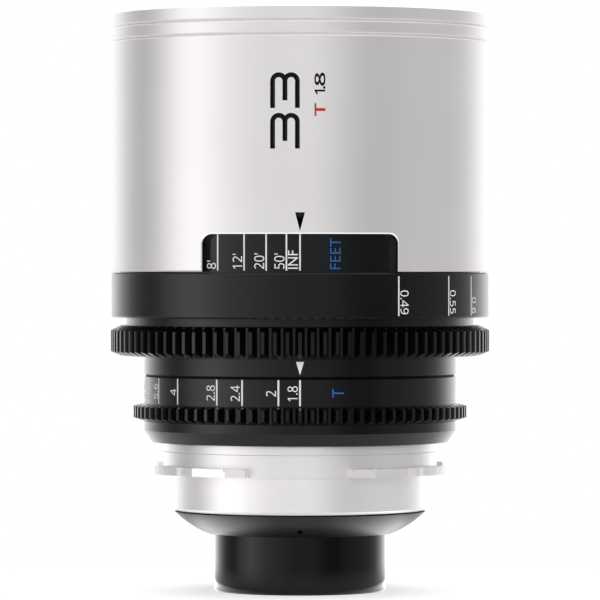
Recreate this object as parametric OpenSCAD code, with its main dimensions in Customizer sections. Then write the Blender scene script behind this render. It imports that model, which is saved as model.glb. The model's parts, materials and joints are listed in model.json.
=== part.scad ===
// Cinema prime lens with a four lug bayonet mount, standing on its rear end.
// Millimetres. +Z runs along the optical axis to the front glass, and the index marks face -Y.
// Angles about the axis are measured from -Y, positive towards +X.

/* [Rear tube and cone] */
// Outer diameter of the rear tube
rear_tube_d = 36.1; // [35:0.1:37]
// Length of the rear tube that shows below the cone
rear_tube_len = 12.2; // [11:0.1:14]
// Wall of the rear tube
rear_tube_wall = 1.6; // [1.3:0.1:1.9]
// Height of the rear cone
cone_len = 4.6; // [4.2:0.1:5.5]
// Step from the tube out to the cone's lower edge
cone_step = 1.55; // [1.3:0.05:2]
// Diameter of the cone under the mount
cone_top_d = 53; // [52.4:0.1:53.6]
// Outward swell of the cone's side
cone_swell = 0.4; // [0.2:0.1:0.7]
// Depth of the cone's spigot inside the pilot
cone_spigot_len = 3; // [2:0.1:4]
// Dark joint between the cone and the pilot
cone_joint = 0.3; // [0.2:0.05:0.5]
// Diameter of the cone's grub screws
cone_screw_d = 0.9; // [0.8:0.1:1.2]

/* [Camera mount] */
// Diameter of the pilot that enters the camera
pilot_d = 54; // [53.8:0.05:54.2]
// Length of the pilot behind the seat
pilot_len = 7.9; // [7.2:0.1:9]
// Wall of the pilot
pilot_wall = 1.8; // [1.5:0.1:2.2]
// Diameter of the mount body above the seat
mount_body_d = 57.8; // [57.2:0.1:59]
// Height of the mount body above the seat
mount_body_len = 6.3; // [5.8:0.1:7.5]
// Thickness of the mount's screw web
mount_web_t = 3.7; // [3:0.1:4.2]
// Diameter over the lugs
lug_d = 65; // [63:0.1:67]
// Thickness of a lug
lug_t = 1.75; // [1.4:0.05:2.2]
// Angle that a lug covers
lug_span = 52; // [44:1:58]
// Angle of the flat pad on a lug's edge
lug_pad_span = 15; // [12:1:18]
// Angle from the middle of a lug to the middle of its pad
lug_pad_shift = 9; // [6:0.5:10]
// Fall of a lug's edge beside its pad
lug_fall = 0.9; // [0.5:0.05:1.2]
// Thickness of the back focus shim
shim_t = 0.2; // [0.1:0.05:0.4]

/* [Rear housing] */
// Diameter of the housing, aperture and index bands
band_d = 65.8; // [65.2:0.1:66.4]
// Diameter of the housing where it meets the mount
housing_low_d = 62.6; // [61.5:0.1:64]
// Height of the housing's taper
housing_taper_len = 2.5; // [2:0.1:3.2]
// Height of the housing's straight band
housing_band_len = 1.9; // [1.5:0.1:2.6]
// Thickness of the housing's floor
housing_floor_t = 2.5; // [2.2:0.1:3]

/* [Aperture ring] */
// Teeth on the aperture gear
iris_teeth = 86; // [85:1:88]
// Width of the aperture gear with its chamfers
iris_gear_w = 3.6; // [3.2:0.1:4.2]
// Height of the T scale band
iris_band_len = 5.7; // [5:0.1:6.5]
// Turn of the aperture ring from T1.8 to T16
iris_turn = 85.4; // [70:0.1:90]
// Dark joint between the aperture ring and the index ring
index_gap = 0.5; // [0.4:0.05:0.8]
// Height of the index band
index_len = 3.6; // [3:0.1:4.5]

/* [Focus ring] */
// Teeth on the focus gear
focus_teeth = 98; // [97:1:99]
// Width of the focus gear with its chamfers
focus_gear_w = 6.4; // [5.6:0.1:7]
// Height of the neck above the focus gear
neck_len = 1.7; // [1.4:0.1:2.4]
// Diameter of the metre scale band
focus_band_d = 79.7; // [79:0.1:80]
// Height of the metre scale band
focus_band_len = 9.4; // [8.5:0.1:11]
// Turn of the focus ring from infinity to the near limit
focus_turn = 150; // [140:1:155]
// Forward travel of the focus group over that turn
focus_travel = 5.6; // [5:0.1:6]

/* [Front barrel] */
// Diameter of the front barrel
barrel_d = 80; // [79.8:0.1:80.4]
// Length of the front barrel
barrel_len = 54.4; // [53.6:0.1:58]
// Wall of the front barrel
barrel_wall = 1.6; // [1.5:0.1:1.8]
// Height of the scale window
window_h = 7.75; // [7:0.05:8.6]
// Angle that the scale window covers
window_span = 60; // [50:1:66]
// Corner radius of the scale window
window_corner = 2; // [1:0.1:3]
// Distance of the first V-groove from the front rim
groove_1_down = 3; // [2.6:0.1:3.6]
// Distance of the second V-groove from the front rim
groove_2_down = 5.9; // [5:0.1:7]
// Width of a V-groove
groove_w = 0.8; // [0.5:0.05:1]
// Depth of a V-groove
groove_depth = 0.35; // [0.2:0.05:0.45]
// Step from the barrel's bore in to the crest of the filter thread
filter_step = 0.3; // [0.2:0.05:0.4]
// Length of the filter thread
filter_len = 5.6; // [4.5:0.1:6]

/* [Chassis] */
// Diameter of the main barrel that the rings turn on
journal_d = 62; // [61.7:0.1:62.2]
// Wall of the main barrel
journal_wall = 1.8; // [1.6:0.1:2]
// Wall of the cam sleeve
cam_wall = 2.55; // [2.3:0.05:2.8]
// Diameter of a cam follower
follower_d = 2.2; // [1.8:0.1:2.4]
// Thickness of the front barrel's inner web
web_t = 3; // [2.6:0.1:3.4]

/* [Aperture] */
// Radius of the open aperture
iris_open_r = 10.4; // [9.6:0.1:10.8]
// Thickness of a blade
blade_t = 0.2; // [0.15:0.01:0.22]
// Radius of the circle of blade pivots
pivot_r = 21; // [20.6:0.1:21.4]
// Outer radius of a blade's crescent
blade_out_r = 17.5; // [17:0.1:17.8]
// Angle that a blade's crescent covers
blade_span = 120; // [112:1:130]
// Diameter of the blade pins
blade_pin_d = 1; // [0.8:0.05:1.1]

/* [Glass] */
// Radius of curvature of the front glass's front
front_curve = 150; // [130:5:300]
// Edge thickness of the front glass
front_edge = 6; // [5.5:0.1:7]
// Edge thickness of the second glass
second_edge = 4.5; // [4:0.1:5]
// Edge thickness of the third glass
third_edge = 3.5; // [3:0.1:4]
// Edge thickness of the focus glasses
focus_edge = 3; // [2.5:0.1:3.4]
// Edge thickness of the rear glasses
rear_edge = 4; // [3.5:0.1:4.4]

/* [Hidden] */
$fn = 96;
curve_fn = 256;

// Fits and small allowances
cut = 1;
run_clear = 0.05;
seat_clear = 0.02;
ring_gap = 0.1;
focus_gap = 0.3;
end_play = 0.2;
scale_clear = 0.3;
barrel_gap = 0.2;
edge_break = 0.3;
fine_break = 0.05;
lens_land = 1;
finger_thread = 0.5;
grub_sunk = 0.15;
stop_clear = 0.15;
wedge_steps = 4;

// Heights of the joints, from the rear end up
cone_z0 = rear_tube_len;
cone_top = cone_z0 + cone_len;
pilot_z0 = cone_top + cone_joint;
seat_z = pilot_z0 + pilot_len;
mount_top = seat_z + mount_body_len;
mount_web_z0 = mount_top - mount_web_t;
shim_top = mount_top + shim_t;
floor_top = shim_top + housing_floor_t;
housing_taper_top = shim_top + housing_taper_len;
housing_top = housing_taper_top + housing_band_len;
iris_z0 = housing_top + ring_gap;
iris_gear_top = iris_z0 + iris_gear_w;
iris_top = iris_gear_top + iris_band_len;
index_z0 = iris_top + index_gap;
index_top = index_z0 + index_len;
focus_z0 = index_top + focus_gap;
focus_gear_top = focus_z0 + focus_gear_w;
neck_top = focus_gear_top + neck_len;
focus_band_top = neck_top + focus_band_len;
barrel_z0 = focus_band_top + barrel_gap;
window_top = barrel_z0 + window_h;
barrel_top = barrel_z0 + barrel_len;

// Radii of the rear end and the mount
tube_r = rear_tube_d / 2;
tube_bore_r = tube_r - rear_tube_wall;
tube_flange_w = 1.85;
tube_flange_r = tube_r + tube_flange_w;
tube_flange_t = 1;
pilot_r = pilot_d / 2;
pilot_bore_r = pilot_r - pilot_wall;
pilot_chamfer = 0.6;
tube_clear = 0.35;
mount_bore_r = tube_r + tube_clear;
mount_r = mount_body_d / 2;
step_line_down = 1.7;
step_line_w = 0.1;
spigot_r = pilot_bore_r - run_clear;
spigot_wall = 1.5;
cone_floor_t = 3.8;
cone_screw_up = 1.2;
cone_low_r = tube_r + cone_step;
cone_screw_reach = 0.6;
cone_screw_count = 3;
cone_steps = 10;
lug_count = 4;
lug_first = 45;
lug_steps = 4;
lug_root = 1;
lug_slope_span = 8.4;
lug_trim = 2;
lug_tab_step = 0.8;
lug_tab_drop = 0.3;
lug_relief_r = 0.35;
lug_relief_back = 1.9;
lug_relief_in = 0.8;
lug_relief_depth = 0.5;

// Radii of the rings and the chassis
band_r = band_d / 2;
journal_r = journal_d / 2;
bore_r = journal_r - journal_wall;
cam_in_r = journal_r + run_clear;
cam_out_r = journal_r + cam_wall;
barrel_r = barrel_d / 2;
barrel_bore_r = barrel_r - barrel_wall;
filter_r = barrel_bore_r - filter_step;
scale_r = barrel_bore_r - scale_clear;

// Gear teeth, 20 degree flanks
gear_module = 0.8;
flank = 20;
addendum = gear_module;
dedendum = 1.25 * gear_module;
tip_over = 0.2;
focus_tip_r = gear_module * focus_teeth / 2 + addendum;
focus_root_r = gear_module * focus_teeth / 2 - dedendum;
iris_tip_r = gear_module * iris_teeth / 2 + addendum;
iris_root_r = gear_module * iris_teeth / 2 - dedendum;
root_drop = 0.3;
neck_drop = 1.5;
neck_r = focus_root_r - neck_drop;
focus_low_chamfer = 0.95;
focus_top_chamfer = 1.05;
iris_low_chamfer = 0.7;
iris_top_chamfer = 0.55;

// Collar of the index ring and the washer on it
collar_h = 2;
collar_wall = 1.6;
collar_r = journal_r + collar_wall;
washer_t = 0.4;
cam_z0 = index_top + collar_h + washer_t + ring_gap;
index_screw_r = 0.6;
index_screw_first = 60;
index_screw_floor = 0.5;

// Top of the scale sleeve, the web above it and the chassis flanges
scale_cover = 3.85;
scale_top = window_top + scale_cover;
web_z0 = scale_top + end_play;
web_top = web_z0 + web_t;
web_lap = 4;
web_bore_r = journal_r - web_lap;
front_flange_t = 2.6;
front_flange_w = 5;
front_flange_r = journal_r - front_flange_w;
rear_flange_t = 2.3;
flange_clear = 0.7;
rear_flange_r = tube_flange_r + flange_clear;
rear_flange_top = floor_top + rear_flange_t;

// Focus drive
focus_guides = 3;
follower_r = follower_d / 2;
guide_half_w = follower_r + run_clear;
follower_up = 3.9;
follower_z = focus_gear_top + follower_up;
follower_tip_r = cam_out_r - end_play;
cam_steps = 12;
cam_over = atan((follower_r + 2 * run_clear) / cam_in_r);
cam_over_rise = focus_travel * cam_over / focus_turn;
stop_r = (cam_in_r + cam_out_r) / 2;
stop_pin_r = 0.9;
stop_depth = 1.6;
stop_margin = atan((stop_pin_r + stop_clear) / stop_r);
stop_angle = 165;
stop_cover = 1;
cam_screw_r = 0.6;
cam_screw_down = 2.8;
cam_screw_z = scale_top - cam_screw_down;
guide_end = 0.3;

// Focus carrier and its glass
carrier_r = bore_r - run_clear;
carrier_wall = 3.15;
carrier_bore_r = carrier_r - carrier_wall;
carrier_low = 6.5;
carrier_z0 = follower_z - carrier_low;
carrier_len = 16;
carrier_lip = 2.5;
carrier_lip_w = 2;
focus_lens_r = carrier_bore_r - run_clear;
focus_seat = carrier_z0 + carrier_lip;
focus_mid_1 = focus_seat + focus_edge;
focus_spacer_len = 4;
focus_mid_2 = focus_mid_1 + focus_spacer_len;
focus_mid_3 = focus_mid_2 + focus_edge;
focus_ring_t = 1.6;

// Aperture unit
blades = 8;
t_open = 1.8;
t_closed = 16;
iris_min_r = iris_open_r * t_open / t_closed;
blade_swing = 2 * asin((iris_open_r - iris_min_r) / (2 * pivot_r));
blade_ratio = blade_swing / iris_turn;
blade_pin_r = blade_pin_d / 2;
pin_lead = 22;
ear_wall = 0.75;
ear_r = blade_pin_r + ear_wall;
ear_lap = 0.5;
iris_floor_t = 1;
iris_floor_top = rear_flange_top + iris_floor_t;
iris_hole_clear = 0.8;
iris_hole_r = iris_open_r + iris_hole_clear;
blade_gap = 0.2;
blade_pitch = blade_t + ring_gap;
stack_z0 = iris_floor_top + blade_gap;
drive_z0 = stack_z0 + blades * blade_pitch + blade_gap;
drive_t = 2;
drive_top = drive_z0 + drive_t;
drive_mid = drive_z0 + drive_t / 2;
iris_rim_w = 3.2;
drive_r = bore_r - iris_rim_w;
drive_inset = 5.4;
drive_bore_r = pivot_r - drive_inset;
iris_rim_top = drive_top + blade_gap;
iris_unit_r = bore_r - run_clear;
iris_retainer_t = 1;
drive_pin_r = 0.6;
drive_pin_angle = 130;
drive_pin_root = 2.5;
drive_pin_cover = 0.7;
drive_pin_in_r = drive_r - drive_pin_root;
drive_pin_out_r = band_r - drive_pin_cover;
drive_slot_margin = atan((drive_pin_r + stop_clear) / journal_r);
drive_slot_h = 0.2;
blade_slot_clear = 0.08;
cam_slot_r = blade_pin_r + blade_slot_clear;
slot_steps = 24;
rim_screw_r = 0.6;
rim_screw_ring = (drive_r + iris_unit_r) / 2;
rim_screws = 4;
rim_screw_first = 45;
rim_screw_depth = 2;
rim_head_r = 1.1;
rim_head_h = 0.7;

// Front cell and its glass
cell_r = filter_r - run_clear;
cell_lip = 1.8;
cell_lip_w = 4;
cell_seat = web_top + cell_lip;
cell_wall = 2.05;
ring_thread_r = cell_r - cell_wall;
front_shoulder = 1.55;
front_bore_r = ring_thread_r - front_shoulder;
small_shoulder = 3.95;
small_bore_r = front_bore_r - small_shoulder;
small_lens_r = small_bore_r - run_clear;
spacer_wall = 2;
spacer_len = 4.5;
third_top = cell_seat + third_edge;
third_rise = 3;
second_z0 = third_top + spacer_len;
second_top = second_z0 + second_edge;
cell_ring_t = 1.5;
front_seat = second_top + cell_ring_t;
front_lens_r = front_bore_r - run_clear;
front_land_w = 2.9;
front_core_r = front_lens_r - front_land_w;
front_land_top = front_seat + front_edge;
front_sag = front_curve - sqrt(pow(front_curve, 2) - pow(front_core_r, 2));
front_step = 0.2;
front_apex = front_land_top + front_sag + front_step;
second_curve = 150;
third_curve = 80;
front_hollow_curve = 60;
front_hollow_rim = 5.5;
front_hollow_half = front_core_r - front_hollow_rim;
front_hollow_sag = front_hollow_curve - sqrt(pow(front_hollow_curve, 2) - pow(front_hollow_half, 2));
front_ring_r = barrel_bore_r + finger_thread;
front_ring_sunk = 0.6;
front_ring_floor = 2.6;
front_ring_top = barrel_top - front_ring_sunk;
thread_z0 = front_ring_top - filter_len;
front_ring_seat = thread_z0 - front_ring_floor;
front_ring_lip = 0.9;
front_ring_bore_r = filter_r - front_ring_lip;
baffle_steps = 5;
baffle_lip_t = 0.5;
key_r = 1;
key_inset = 4.05;
key_ring = cell_r - key_inset;
key_angle = 30;
key_len = 3.2;

// Rear glass
rear_lens_r = tube_bore_r - run_clear;
rear_cap = 0.8;
rear_ring_t = 1.2;
rear_ring_wall = 1.6;
rear_glass_z0 = rear_cap + rear_ring_t;
rear_lip_z0 = rear_glass_z0 + rear_edge;
rear_lip_t = 1.5;
rear_lip_w = 1.3;
rear_mid_z0 = rear_lip_z0 + rear_lip_t;
rear_mid_top = rear_mid_z0 + rear_edge;
rear_spacer_len = 8;
rear_inner_z0 = rear_mid_top + rear_spacer_len;
rear_inner_top = rear_inner_z0 + rear_edge;

// Curves of the round glass as rear face and front face, hollow where negative
rear_curves = [-70, -120];
rear_middle_curves = [-90, 60];
rear_inner_curves = [55, 90];
focus_rear_curves = [-160, 170];
focus_front_curves = [250, 110];

// Screw patterns
screw_count = 6;
housing_screw_inset = 4.5;
housing_screw_ring = journal_r - housing_screw_inset;
housing_screw_r = 0.8;
housing_head_r = 1.45;
housing_head_h = 1.2;
mount_screw_inset = 2.9;
mount_screw_ring = pilot_bore_r - mount_screw_inset;
mount_screw_first = 30;
mount_screw_r = 1;
mount_head_r = 1.75;
mount_head_h = 1.6;
barrel_screw_inset = 2.4;
barrel_screw_ring = journal_r - barrel_screw_inset;
barrel_screw_r = 0.8;
barrel_head_r = 1.4;
barrel_head_h = 1.4;
screw_tip_gap = 0.3;
socket_share = 0.5;

silver = "#d8d5d0";
black = "#232427";
gloss = "#141517";
steel = "#9a9da1";
brass = "#b08d4a";
glass = "#8fb6c8";
ivory = "#e9e4d4";

function turned(p, a) = [p[0] * cos(a) - p[1] * sin(a), p[0] * sin(a) + p[1] * cos(a)];
function sag(curve, half) = curve - sqrt(pow(curve, 2) - pow(half, 2));
function bearing_point(r, a) = [r * sin(a), -r * cos(a)];

// Points of a shallow arc from a to b that swells to the right of the line between them
function arc_between(a, b, swell, n) =
  let (
    chord = b - a,
    half = norm(chord) / 2,
    radius = (half * half + swell * swell) / (2 * swell),
    side = [chord[1], -chord[0]] / norm(chord),
    centre = (a + b) / 2 - side * (radius - swell),
    reach = asin(half / radius),
    middle = atan2(side[1], side[0])
  )
  [
    for (k = [0 : n])
      let (bearing = middle - reach + 2 * reach * k / n)
      centre + radius * [cos(bearing), sin(bearing)]
  ];

// Places children on the -Y side at a height, with +Z pointing out from the axis
module radial(angle, z) {
  rotate([0, 0, angle])
    translate([0, 0, z])
      rotate([90, 0, 0])
        children();
}

// Cylinder along a radius
module radial_pin(angle, z, r, r0, r1) {
  radial(angle, z)
    translate([0, 0, r0])
      cylinder(r = r, h = r1 - r0);
}

// Copies children evenly about the axis
module around(count, first = 0) {
  for (k = [0 : count - 1])
    rotate([0, 0, first + k * 360 / count])
      children();
}

// Plain ring between two radii and two heights
module ring(r0, r1, z0, z1) {
  rotate_extrude()
    translate([r0, z0])
      square([r1 - r0, z1 - z0]);
}

// Part of a ring from one angle to another
module ring_part(r0, r1, z0, z1, from, to) {
  rotate([0, 0, from - 90])
    rotate_extrude(angle = to - from)
      translate([r0, z0])
        square([r1 - r0, z1 - z0]);
}

// Grub screw along a radius with a hex socket in its outer end
module grub(z, r, r0, r1) {
  difference() {
    radial_pin(0, z, r, r0, r1);
    radial(0, z)
      translate([0, 0, r1 - r])
        cylinder(r = r * socket_share, h = 2 * r, $fn = 6);
  }
}

// Cap screw pointing up, its head below z
module cap_screw(ring_r, z, shank_r, length, head_r, head_h) {
  translate([0, -ring_r, z])
    difference() {
      union() {
        cylinder(r = shank_r, h = length);
        translate([0, 0, -head_h])
          cylinder(r = head_r, h = head_h);
      }
      translate([0, 0, -head_h - cut])
        cylinder(r = head_r * socket_share, h = cut + head_h / 2, $fn = 6);
    }
}

// Spherical glass; a positive curve bulges, a negative one is hollow
module round_glass(r, z0, z1, curves) {
  half = r - lens_land;
  low = abs(curves[0]);
  top = abs(curves[1]);
  rotate_extrude()
    difference() {
      union() {
        translate([0, z0])
          square([r, z1 - z0]);
        if (curves[0] > 0)
          intersection() {
            translate([0, z0 - sag(low, half) + low])
              circle(r = low, $fn = curve_fn);
            translate([0, z0 - low])
              square([half, low]);
          }
        if (curves[1] > 0)
          intersection() {
            translate([0, z1 + sag(top, half) - top])
              circle(r = top, $fn = curve_fn);
            translate([0, z1])
              square([half, top]);
          }
      }
      if (curves[0] < 0)
        translate([0, z0 + sag(low, half) - low])
          circle(r = low, $fn = curve_fn);
      if (curves[1] < 0)
        translate([0, z1 - sag(top, half) + top])
          circle(r = top, $fn = curve_fn);
    }
}

// Bar of round section along X for the cylindrical glass surfaces
module cross_bar(curve, z) {
  translate([0, 0, z])
    rotate([0, 90, 0])
      cylinder(r = curve, h = 2 * barrel_d, center = true, $fn = curve_fn);
}

// Outline of a gear with straight flanks, a little past the tips that its blank already has
module gear_outline(teeth, tip_r, root_r) {
  pitch = 360 / teeth;
  pitch_r = gear_module * teeth / 2;
  end_r = tip_r + tip_over;
  tip_half = pitch / 4 - (end_r - pitch_r) * tan(flank) / end_r * 180 / PI;
  root_half = pitch / 4 + (pitch_r - root_r) * tan(flank) / root_r * 180 / PI;
  polygon([
    for (k = [0 : teeth - 1])
      for (corner = [[root_r, -root_half], [end_r, -tip_half], [end_r, tip_half], [root_r, root_half]])
        let (a = k * pitch + corner[1] - 90)
        corner[0] * [cos(a), sin(a)]
  ]);
}

// What a gear cutter takes away between two heights
module tooth_gaps(teeth, tip_r, root_r, z0, z1) {
  translate([0, 0, z0])
    linear_extrude(z1 - z0)
      difference() {
        circle(r = tip_r + cut);
        gear_outline(teeth, tip_r, root_r);
      }
}

// Holes for a ring of cap screws with counterbored heads, heads below z
module screw_holes(count, first, ring_r, z, shank_r, length, head_r, head_h) {
  around(count, first)
    translate([0, -ring_r, z]) {
      translate([0, 0, -cut])
        cylinder(r = shank_r, h = length + cut);
      translate([0, 0, -head_h])
        cylinder(r = head_r, h = head_h);
    }
}

// Helical cutter of the cam, falling behind the ring's turn as it climbs
module cam_slot(angle) {
  inner = cam_in_r - cut;
  outer = cam_out_r + cut;
  sections = [
    for (k = [0 : cam_steps])
      let (
        share = k / cam_steps,
        a = angle + cam_over - (focus_turn + 2 * cam_over) * share - 90,
        z = follower_z - cam_over_rise + (focus_travel + 2 * cam_over_rise) * share
      )
      for (p = [[inner, -1], [outer, -1], [outer, 1], [inner, 1]])
        [p[0] * cos(a), p[0] * sin(a), z + p[1] * guide_half_w]
  ];
  sides = [
    for (k = [0 : cam_steps - 1])
      for (j = [0 : 3])
        let (a = 4 * k + j, b = 4 * k + (j + 1) % 4)
        for (face = [[a, b + 4, b], [a, a + 4, b + 4]])
          face
  ];
  last = 4 * cam_steps;
  ends = [[0, 2, 3], [0, 1, 2], [last, last + 2, last + 1], [last, last + 3, last + 2]];
  polyhedron(points = sections, faces = concat(sides, ends));
}

module front_barrel() {
  groove_1 = barrel_top - groove_1_down;
  groove_2 = barrel_top - groove_2_down;
  color(silver)
    difference() {
      rotate_extrude()
        polygon(concat(
          [
            [barrel_bore_r, barrel_z0],
            [barrel_r - edge_break, barrel_z0],
            [barrel_r, barrel_z0 + edge_break]
          ],
          [
            for (z = [groove_2, groove_1])
              for (p = [[0, -groove_w / 2], [-groove_depth, 0], [0, groove_w / 2]])
                [barrel_r + p[0], z + p[1]]
          ],
          [
            [barrel_r, barrel_top - edge_break],
            [barrel_r - edge_break, barrel_top],
            [front_ring_r, barrel_top],
            [front_ring_r, front_ring_seat],
            [barrel_bore_r, front_ring_seat],
            [barrel_bore_r, web_top],
            [web_bore_r, web_top],
            [web_bore_r, web_z0],
            [barrel_bore_r, web_z0]
          ]
        ));
      window_cut();
      around(screw_count)
        translate([0, -barrel_screw_ring, web_z0 - cut]) {
          cylinder(r = barrel_screw_r + seat_clear, h = web_t + 2 * cut);
          translate([0, 0, cut + web_t - barrel_head_h])
            cylinder(r = barrel_head_r + run_clear, h = barrel_head_h + cut);
        }
      rotate([0, 0, key_angle])
        translate([0, -key_ring, web_top - key_len / 2])
          cylinder(r = key_r, h = key_len);
      rotate([0, 0, stop_angle])
        translate([0, -stop_r, web_z0 - cut])
          cylinder(r = stop_pin_r, h = cut + web_t - stop_cover);
    }
}

// Window with two round upper corners, through the front wall only
module window_cut() {
  half_w = barrel_r * sin(window_span / 2);
  corner_x = half_w - window_corner;
  corner_z = window_top - window_corner;
  translate([0, -barrel_bore_r * cos(window_span / 2) + barrel_wall * 2, 0])
    rotate([90, 0, 0])
      linear_extrude(barrel_r)
        union() {
          translate([-half_w, barrel_z0 - cut])
            square([2 * half_w, corner_z - barrel_z0 + cut]);
          translate([-corner_x, corner_z - cut])
            square([2 * corner_x, window_corner + cut]);
          for (side = [-1, 1])
            translate([side * corner_x, corner_z])
              circle(r = window_corner);
        }
}

module front_ring() {
  color(black)
    rotate_extrude()
      polygon([
        [front_ring_bore_r, front_ring_seat],
        [front_ring_r - seat_clear, front_ring_seat],
        [front_ring_r - seat_clear, front_ring_top],
        [filter_r + edge_break, front_ring_top],
        [filter_r, front_ring_top - edge_break],
        [filter_r, thread_z0],
        [front_ring_bore_r, thread_z0]
      ]);
}

// Stepped funnel that holds the front glass and kills stray light
module front_retaining_ring() {
  low_r = front_core_r + run_clear;
  top_r = ring_thread_r - baffle_lip_t;
  rise = (front_ring_seat - front_land_top) / baffle_steps;
  run = (top_r - low_r) / (baffle_steps - 1);
  color(black)
    rotate_extrude()
      polygon(concat(
        [[ring_thread_r, front_ring_seat], [ring_thread_r, front_land_top]],
        [
          for (k = [0 : baffle_steps - 1])
            for (side = [0, 1])
              [low_r + k * run, front_land_top + (k + side) * rise]
        ]
      ));
}

module front_cell() {
  color(black)
    difference() {
      rotate_extrude()
        polygon([
          [small_bore_r - cell_lip_w, web_top],
          [cell_r, web_top],
          [cell_r, front_ring_seat],
          [ring_thread_r, front_ring_seat],
          [ring_thread_r, front_land_top],
          [front_bore_r, front_land_top],
          [front_bore_r, front_seat],
          [small_bore_r, front_seat],
          [small_bore_r, cell_seat],
          [small_bore_r - cell_lip_w, cell_seat]
        ]);
      rotate([0, 0, key_angle])
        translate([0, -key_ring, web_top - key_len / 2])
          cylinder(r = key_r, h = key_len);
    }
}

// Negative meniscus, curved in one direction only
module front_element() {
  color(glass)
    difference() {
      union() {
        translate([0, 0, front_seat])
          cylinder(r = front_lens_r, h = front_edge);
        intersection() {
          translate([0, 0, front_seat])
            cylinder(r = front_core_r, h = front_apex - front_seat + cut);
          cross_bar(front_curve, front_apex - front_curve);
        }
      }
      intersection() {
        translate([0, 0, front_seat - cut])
          cylinder(r = front_core_r - front_land_w, h = front_hollow_sag + 2 * cut);
        cross_bar(front_hollow_curve, front_seat + front_hollow_sag - front_hollow_curve);
      }
    }
}

// Hollow glass, curved in one direction only
module second_element() {
  half = small_lens_r - spacer_wall;
  depth = sag(second_curve, half - lens_land);
  color(glass)
    difference() {
      translate([0, 0, second_z0])
        cylinder(r = small_lens_r, h = second_edge);
      intersection() {
        translate([0, 0, second_top - depth - cut])
          cylinder(r = half, h = depth + 2 * cut);
        cross_bar(second_curve, second_top - depth + second_curve);
      }
    }
}

// Positive glass, curved in one direction only
module third_element() {
  color(glass)
    union() {
      translate([0, 0, cell_seat])
        cylinder(r = small_lens_r, h = third_edge);
      intersection() {
        translate([0, 0, cell_seat])
          cylinder(r = small_lens_r - spacer_wall - lens_land, h = third_edge + third_rise + cut);
        cross_bar(third_curve, third_top + third_rise - third_curve);
      }
    }
}

module front_spacer() {
  color(black)
    ring(small_lens_r - spacer_wall, small_lens_r, third_top, second_z0);
}

module cell_retaining_ring() {
  color(black)
    difference() {
      ring(small_lens_r - spacer_wall, small_lens_r, second_top, front_seat);
      spanner_slots(small_lens_r - spacer_wall, small_lens_r, front_seat);
    }
}

// Two slots for a lens spanner in the top of a retaining ring
module spanner_slots(r0, r1, z) {
  slot_w = 1.6;
  slot_depth = 0.7;
  for (side = [0, 180])
    rotate([0, 0, side])
      translate([r0 - cut, -slot_w / 2, z - slot_depth])
        cube([r1 - r0 + 2 * cut, slot_w, slot_depth + cut]);
}

module cell_key() {
  color(steel)
    rotate([0, 0, key_angle])
      translate([0, -key_ring, web_top - key_len / 2])
        cylinder(r = key_r, h = key_len - screw_tip_gap);
}

module barrel_screws() {
  color(steel)
    around(screw_count)
      translate([0, 0, web_top])
        mirror([0, 0, 1])
          cap_screw(
            barrel_screw_ring, barrel_head_h, barrel_screw_r,
            web_t + front_flange_t - barrel_head_h - screw_tip_gap, barrel_head_r, barrel_head_h
          );
}

// Fixed chassis tube that every ring turns on
module main_barrel() {
  color(black)
    difference() {
      rotate_extrude()
        polygon([
          [rear_flange_r, floor_top],
          [journal_r, floor_top],
          [journal_r, web_z0],
          [front_flange_r, web_z0],
          [front_flange_r, web_z0 - front_flange_t],
          [bore_r, web_z0 - front_flange_t],
          [bore_r, rear_flange_top],
          [rear_flange_r, rear_flange_top]
        ]);
      around(focus_guides)
        guide_slot();
      ring_part(
        bore_r - cut, journal_r + cut,
        drive_mid - drive_pin_r - drive_slot_h, drive_mid + drive_pin_r + drive_slot_h,
        drive_pin_angle - drive_slot_margin, drive_pin_angle + iris_turn + drive_slot_margin
      );
      around(screw_count)
        translate([0, -housing_screw_ring, floor_top - cut])
          cylinder(r = housing_screw_r, h = cut + rear_flange_t - screw_tip_gap);
      around(screw_count)
        translate([0, -barrel_screw_ring, web_z0 - front_flange_t + screw_tip_gap])
          cylinder(r = barrel_screw_r, h = front_flange_t + cut);
      around(focus_guides, index_screw_first)
        radial_pin(0, index_top + collar_h / 2, index_screw_r, bore_r + index_screw_floor, journal_r + cut);
    }
}

// Straight slot that keeps the focus group from turning
module guide_slot() {
  low = follower_z - guide_end;
  high = follower_z + focus_travel + guide_end;
  for (z = [low, high])
    radial_pin(0, z, guide_half_w, bore_r - cut, journal_r + cut);
  translate([-guide_half_w, -journal_r - cut, low])
    cube([2 * guide_half_w, journal_wall + 2 * cut, high - low]);
}

module focus_stop_pin() {
  color(steel)
    rotate([0, 0, stop_angle])
      translate([0, -stop_r, scale_top - stop_depth + end_play])
        cylinder(r = stop_pin_r, h = stop_depth + web_t - stop_cover);
}

module thrust_washer() {
  color(ivory)
    ring(cam_in_r, collar_r, index_top + collar_h, index_top + collar_h + washer_t);
}

module iris_washer() {
  color(gloss)
    ring(cam_in_r, band_r - root_drop, index_z0 - index_gap + ring_gap, index_z0);
}

// Fixed band with the aperture index, and the collar that carries the focus ring
module index_ring() {
  color(black)
    difference() {
      rotate_extrude()
        polygon([
          [journal_r + seat_clear, index_z0],
          [band_r - fine_break, index_z0],
          [band_r, index_z0 + fine_break],
          [band_r, index_top],
          [collar_r, index_top],
          [collar_r, index_top + collar_h],
          [journal_r + seat_clear, index_top + collar_h]
        ]);
      around(focus_guides, index_screw_first)
        radial_pin(0, index_top + collar_h / 2, index_screw_r, journal_r - cut, band_r);
    }
}

module index_screws() {
  tip_r = bore_r + index_screw_floor + ring_gap;
  color(steel)
    around(focus_guides, index_screw_first)
      grub(index_top + collar_h / 2, index_screw_r, tip_r, collar_r - grub_sunk);
}

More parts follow.
